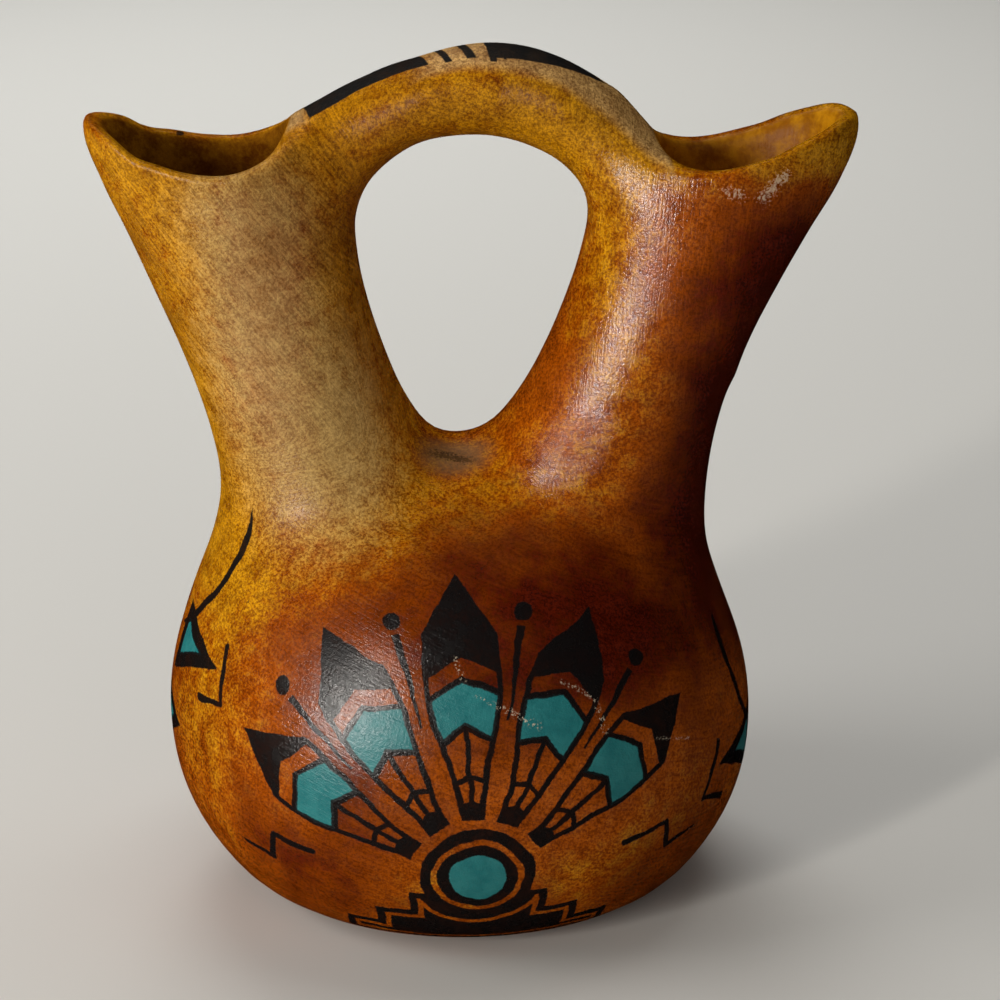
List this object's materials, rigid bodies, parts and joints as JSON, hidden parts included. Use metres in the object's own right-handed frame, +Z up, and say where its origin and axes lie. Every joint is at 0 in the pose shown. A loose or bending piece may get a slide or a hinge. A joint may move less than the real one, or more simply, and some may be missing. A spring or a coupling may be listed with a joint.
{
  "type": "wedding vase",
  "caption": "Hollow round-bellied ceramic vase with leaning pouring spouts joined by a thick arched handle, painted with feather fans.",
  "frame": {"origin": "on the floor under the middle of the flat foot, on the line between the spouts", "axes": "+X towards the right spout, +Y to the back, +Z up through the handle"},
  "size_m": [0.1723, 0.1302, 0.1999],
  "materials": {
    "painted_clay": "satin stained clay with painted pattern"
  },
  "bodies": {
    "root": {"vase": "painted_clay"}
  },
  "joints": []
}
